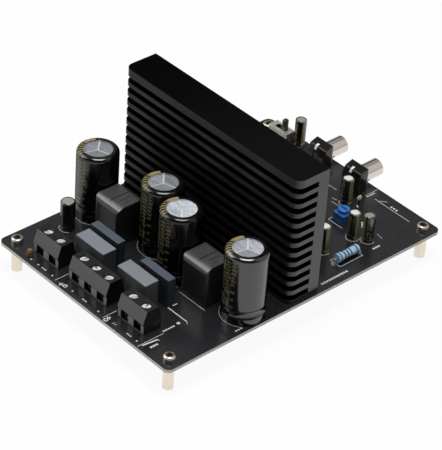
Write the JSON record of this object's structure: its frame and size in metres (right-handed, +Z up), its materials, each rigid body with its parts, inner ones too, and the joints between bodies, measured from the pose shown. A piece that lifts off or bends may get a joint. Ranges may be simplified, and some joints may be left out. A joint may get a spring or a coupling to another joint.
{
  "type": "audio amplifier board",
  "caption": "Audio amplifier board on standoffs: black circuit board with a tall finned heatsink, can capacitors, coils, screw terminals and input sockets.",
  "frame": {"origin": "middle of the four standoff feet, on the plane they stand on", "axes": "+X along the row of screw terminals, +Y from the terminals to the input sockets, +Z up"},
  "size_m": [0.1122, 0.1632, 0.0779],
  "materials": {
    "solder_mask": "semi-gloss black solder mask",
    "nickel": "nickel plated",
    "screw_steel": "zinc plated",
    "black_anodised": "satin black anodised",
    "chip_moulding": "matte",
    "part_black": "matte with tinned ends",
    "pad_grey": "matte",
    "can_metal": "satin",
    "black_sleeve": "glossy shrink sleeve",
    "coil_grey": "matte moulded",
    "film_grey": "matte moulded",
    "terminal_grey": "matte moulded",
    "cage_metal": "nickel plated",
    "clamp_steel": "bright zinc",
    "brown_sleeve": "glossy shrink sleeve",
    "socket_black": "matte moulded",
    "shell_plate": "nickel plated",
    "insulator_white": "matte moulded",
    "contact_brass": "bright",
    "switch_black": "matte moulded",
    "frame_metal": "tin plated",
    "trimmer_blue": "matte moulded",
    "resistor_blue": "glossy lacquer",
    "dipped_tan": "dipped lacquer",
    "lamp_amber": "clear amber moulding",
    "solder": "bright solder"
  },
  "bodies": {
    "amplifier": {"board": "solder_mask", "standoffs": "nickel", "board_screws": "screw_steel", "heatsink_screws": "screw_steel", "transistor_screws": "screw_steel", "heatsink": "black_anodised", "transistor_1": "chip_moulding", "transistor_2": "chip_moulding", "transistor_3": "chip_moulding", "transistor_4": "chip_moulding", "driver_chips": "chip_moulding", "transistor_pads": "pad_grey", "chip_parts": "part_black", "capacitor_can_1": "can_metal", "capacitor_can_2": "can_metal", "capacitor_can_3": "can_metal", "capacitor_can_4": "can_metal", "capacitor_sleeve_1": "black_sleeve", "capacitor_sleeve_2": "black_sleeve", "capacitor_sleeve_3": "black_sleeve", "capacitor_sleeve_4": "black_sleeve", "supply_capacitor": "black_sleeve", "coil_1": "coil_grey", "coil_2": "coil_grey", "film_capacitor_1": "film_grey", "film_capacitor_2": "film_grey", "film_capacitor_3": "film_grey", "film_capacitor_4": "film_grey", "terminal_block_1": "terminal_grey", "terminal_block_2": "terminal_grey", "terminal_block_3": "terminal_grey", "clamp_cages": "cage_metal", "small_capacitor_1": "brown_sleeve", "small_capacitor_2": "brown_sleeve", "small_capacitor_3": "brown_sleeve", "small_capacitor_4": "brown_sleeve", "small_capacitor_5": "brown_sleeve", "socket_body_1": "socket_black", "socket_body_2": "socket_black", "socket_shell_1": "shell_plate", "socket_shell_2": "shell_plate", "socket_insulator_1": "insulator_white", "socket_insulator_2": "insulator_white", "socket_contacts": "contact_brass", "switch_base": "switch_black", "switch_frame": "frame_metal", "trimmer_body": "trimmer_blue", "resistor": "resistor_blue", "dipped_capacitor": "dipped_tan", "indicator_lamp": "lamp_amber", "solder_joints": "solder"},
    "slider": {"switch_slider": "switch_black"},
    "rotor": {"trimmer_rotor": "trimmer_blue"},
    "screw_1": {"clamp_screw_1": "clamp_steel"},
    "screw_2": {"clamp_screw_2": "clamp_steel"},
    "screw_3": {"clamp_screw_3": "clamp_steel"},
    "screw_4": {"clamp_screw_4": "clamp_steel"},
    "screw_5": {"clamp_screw_5": "clamp_steel"},
    "screw_6": {"clamp_screw_6": "clamp_steel"},
    "screw_7": {"clamp_screw_7": "clamp_steel"}
  },
  "joints": [
    {"name": "switch_slide", "type": "slide", "parent": "amplifier", "child": "slider", "axis": [1, 0, 0], "range_m": [-0.004, 0]},
    {"name": "trimmer_turn", "type": "hinge", "parent": "amplifier", "child": "rotor", "pos_m": [0.0242, 0.05022, 0.0194], "axis": [0, 0, 1], "range_deg": [-130, 130]},
    {"name": "clamp_turn_1", "type": "hinge", "parent": "amplifier", "child": "screw_1", "pos_m": [-0.03612, -0.06832, 0.0239], "axis": [0, 0, 1], "range_deg": [-864, 0]},
    {"name": "clamp_turn_2", "type": "hinge", "parent": "amplifier", "child": "screw_2", "pos_m": [-0.02792, -0.06832, 0.0239], "axis": [0, 0, 1], "range_deg": [-864, 0]},
    {"name": "clamp_turn_3", "type": "hinge", "parent": "amplifier", "child": "screw_3", "pos_m": [-0.01212, -0.06832, 0.0239], "axis": [0, 0, 1], "range_deg": [-864, 0]},
    {"name": "clamp_turn_4", "type": "hinge", "parent": "amplifier", "child": "screw_4", "pos_m": [-0.00392, -0.06832, 0.0239], "axis": [0, 0, 1], "range_deg": [-864, 0]},
    {"name": "clamp_turn_5", "type": "hinge", "parent": "amplifier", "child": "screw_5", "pos_m": [0.00428, -0.06832, 0.0239], "axis": [0, 0, 1], "range_deg": [-864, 0]},
    {"name": "clamp_turn_6", "type": "hinge", "parent": "amplifier", "child": "screw_6", "pos_m": [0.02008, -0.06832, 0.0239], "axis": [0, 0, 1], "range_deg": [-864, 0]},
    {"name": "clamp_turn_7", "type": "hinge", "parent": "amplifier", "child": "screw_7", "pos_m": [0.02828, -0.06832, 0.0239], "axis": [0, 0, 1], "range_deg": [-864, 0]}
  ]
}
